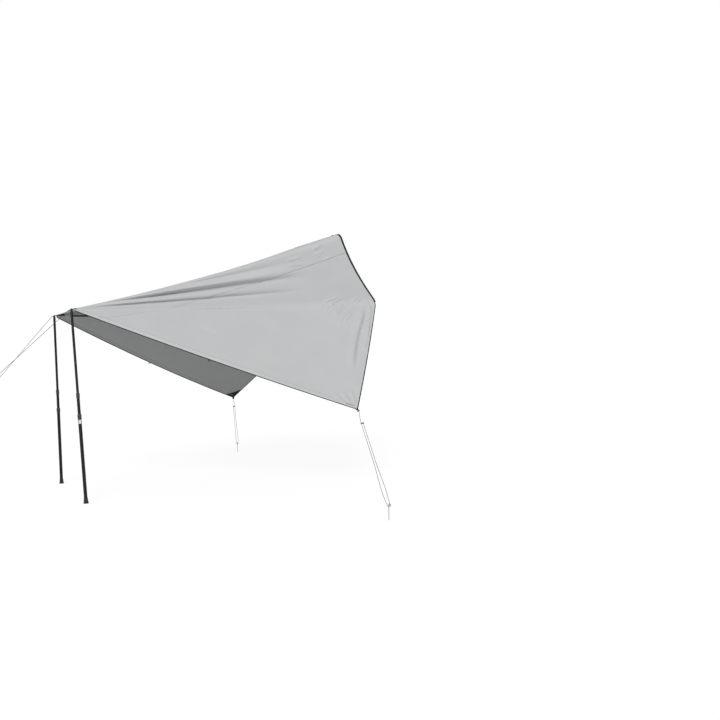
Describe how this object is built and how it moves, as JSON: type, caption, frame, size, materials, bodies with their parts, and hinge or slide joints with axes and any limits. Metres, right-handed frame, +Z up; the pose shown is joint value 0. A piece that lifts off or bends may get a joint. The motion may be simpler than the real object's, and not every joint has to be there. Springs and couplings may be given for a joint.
{
  "type": "tent awning",
  "caption": "Sloping fabric awning with two drooping side wings, zipped to a roof tent at one end and carried by telescopic poles and pegged guy lines at the other.",
  "frame": {"origin": "on the ground, under the middle of the box round the cloth and the poles, without the guy lines", "axes": "+Z up, +X from the poles to the tent, +Y from the near side to the far side, along the front hem"},
  "size_m": [5.1299, 5.3525, 2.7648],
  "materials": {
    "awning_cloth": "light grey coated ripstop cloth, fine plain weave",
    "webbing": "black woven polyester webbing and binding tape",
    "nylon_coil": "black nylon zip coil",
    "black_metal": "black lacquered zinc",
    "eyelet_metal": "dull nickel eyelet",
    "pole_tube": "black satin anodised aluminium tube",
    "black_plastic": "black moulded nylon, fine texture",
    "rubber_foot": "black rubber",
    "galvanised_steel": "zinc-plated steel",
    "guy_cord": "dark grey braided cord"
  },
  "bodies": {
    "canopy": {"canopy_roof": "awning_cloth", "canopy_wing_near": "awning_cloth", "canopy_wing_far": "awning_cloth", "front_hem_webbing": "webbing", "hem_webbing_near": "webbing", "hem_webbing_far": "webbing", "tent_edge_binding_near": "webbing", "tent_edge_binding_far": "webbing", "load_webbing_near": "webbing", "load_webbing_far": "webbing", "zip_tape": "webbing", "pole_patch_near": "webbing", "pole_patch_far": "webbing", "wing_patch_near": "webbing", "wing_patch_far": "webbing", "zip_coil": "nylon_coil", "pole_eyelet_near": "eyelet_metal", "pole_eyelet_far": "eyelet_metal", "wing_eyelet_near": "eyelet_metal", "wing_eyelet_far": "eyelet_metal", "near_pole_peg": "galvanised_steel", "far_pole_peg": "galvanised_steel", "near_wing_peg": "galvanised_steel", "far_wing_peg": "galvanised_steel", "near_pole_guy": "guy_cord", "far_pole_guy": "guy_cord", "near_wing_guy": "guy_cord", "far_wing_guy": "guy_cord"},
    "near_pole_top": {"near_tip_spigot": "galvanised_steel", "near_upper_tube": "pole_tube", "near_upper_bush": "black_plastic"},
    "near_pole_middle": {"near_middle_tube": "pole_tube", "near_middle_bush": "black_plastic", "near_upper_clamp": "black_plastic", "near_upper_lever_pin": "galvanised_steel"},
    "near_pole_bottom": {"near_lower_tube": "pole_tube", "near_foot": "rubber_foot", "near_lower_clamp": "black_plastic", "near_lower_lever_pin": "galvanised_steel"},
    "near_upper_flip": {"near_upper_lever": "black_plastic"},
    "near_lower_flip": {"near_lower_lever": "black_plastic"},
    "far_pole_top": {"far_tip_spigot": "galvanised_steel", "far_upper_tube": "pole_tube", "far_upper_bush": "black_plastic"},
    "far_pole_middle": {"far_middle_tube": "pole_tube", "far_middle_bush": "black_plastic", "far_upper_clamp": "black_plastic", "far_upper_lever_pin": "galvanised_steel"},
    "far_pole_bottom": {"far_lower_tube": "pole_tube", "far_foot": "rubber_foot", "far_lower_clamp": "black_plastic", "far_lower_lever_pin": "galvanised_steel"},
    "far_upper_flip": {"far_upper_lever": "black_plastic"},
    "far_lower_flip": {"far_lower_lever": "black_plastic"},
    "zip_runner": {"zip_slider": "black_metal"},
    "zip_tab": {"zip_pull": "black_metal"},
    "near_pole_runner": {"near_pole_slider": "black_plastic"},
    "far_pole_runner": {"far_pole_slider": "black_plastic"},
    "near_wing_runner": {"near_wing_slider": "black_plastic"},
    "far_wing_runner": {"far_wing_slider": "black_plastic"}
  },
  "joints": [
    {"name": "near_pole_tilt", "type": "hinge", "parent": "canopy", "child": "near_pole_top", "pos_m": [-1.65615, -0.5395, 1.8411], "axis": [0, 1, 0], "range_deg": [-20, 8]},
    {"name": "near_upper_slide", "type": "slide", "parent": "near_pole_top", "child": "near_pole_middle", "axis": [-0.0413, 0.0982, 0.9943], "range_m": [-0.04, 0.715]},
    {"name": "near_lower_slide", "type": "slide", "parent": "near_pole_middle", "child": "near_pole_bottom", "axis": [-0.0413, 0.0982, 0.9943], "range_m": [-0.55, 0.14]},
    {"name": "near_upper_lever_swing", "type": "hinge", "parent": "near_pole_middle", "child": "near_upper_flip", "pos_m": [-1.63257, -0.6394, 1.01756], "axis": [-0.8651, 0.4944, -0.0847], "range_deg": [0, 95]},
    {"name": "near_lower_lever_swing", "type": "hinge", "parent": "near_pole_bottom", "child": "near_lower_flip", "pos_m": [-1.62527, -0.66087, 0.81783], "axis": [-0.8651, 0.4944, -0.0847], "range_deg": [0, 95]},
    {"name": "far_pole_tilt", "type": "hinge", "parent": "canopy", "child": "far_pole_top", "pos_m": [-1.65615, 0.5395, 1.8411], "axis": [0, 1, 0], "range_deg": [-20, 8]},
    {"name": "far_upper_slide", "type": "slide", "parent": "far_pole_top", "child": "far_pole_middle", "axis": [-0.0413, -0.0982, 0.9943], "range_m": [-0.04, 0.715]},
    {"name": "far_lower_slide", "type": "slide", "parent": "far_pole_middle", "child": "far_pole_bottom", "axis": [-0.0413, -0.0982, 0.9943], "range_m": [-0.55, 0.14]},
    {"name": "far_upper_lever_swing", "type": "hinge", "parent": "far_pole_middle", "child": "far_upper_flip", "pos_m": [-1.63245, 0.60263, 1.01393], "axis": [-0.8682, 0.4961, 0.013], "range_deg": [0, 95]},
    {"name": "far_lower_lever_swing", "type": "hinge", "parent": "far_pole_bottom", "child": "far_lower_flip", "pos_m": [-1.62515, 0.62065, 0.81386], "axis": [-0.8682, 0.4961, 0.013], "range_deg": [0, 95]},
    {"name": "zip_travel", "type": "slide", "parent": "canopy", "child": "zip_runner", "axis": [0, 1, 0], "range_m": [0, 0.89]},
    {"name": "zip_pull_swing", "type": "hinge", "parent": "zip_runner", "child": "zip_tab", "pos_m": [1.23249, -0.4468, 2.75779], "axis": [0.9282, 0, 0.3721], "range_deg": [0, 150]},
    {"name": "near_pole_guy_tension", "type": "slide", "parent": "canopy", "child": "near_pole_runner", "axis": [-0.7192, -0.0002, -0.6948], "range_m": [0, 0.15]},
    {"name": "far_pole_guy_tension", "type": "slide", "parent": "canopy", "child": "far_pole_runner", "axis": [-0.6343, 0.0002, -0.7731], "range_m": [0, 0.15]},
    {"name": "near_wing_guy_tension", "type": "slide", "parent": "canopy", "child": "near_wing_runner", "axis": [-0.2903, -0.8346, -0.4682], "range_m": [0, 0.15]},
    {"name": "far_wing_guy_tension", "type": "slide", "parent": "canopy", "child": "far_wing_runner", "axis": [0.2854, 0.6257, -0.726], "range_m": [0, 0.15]}
  ]
}
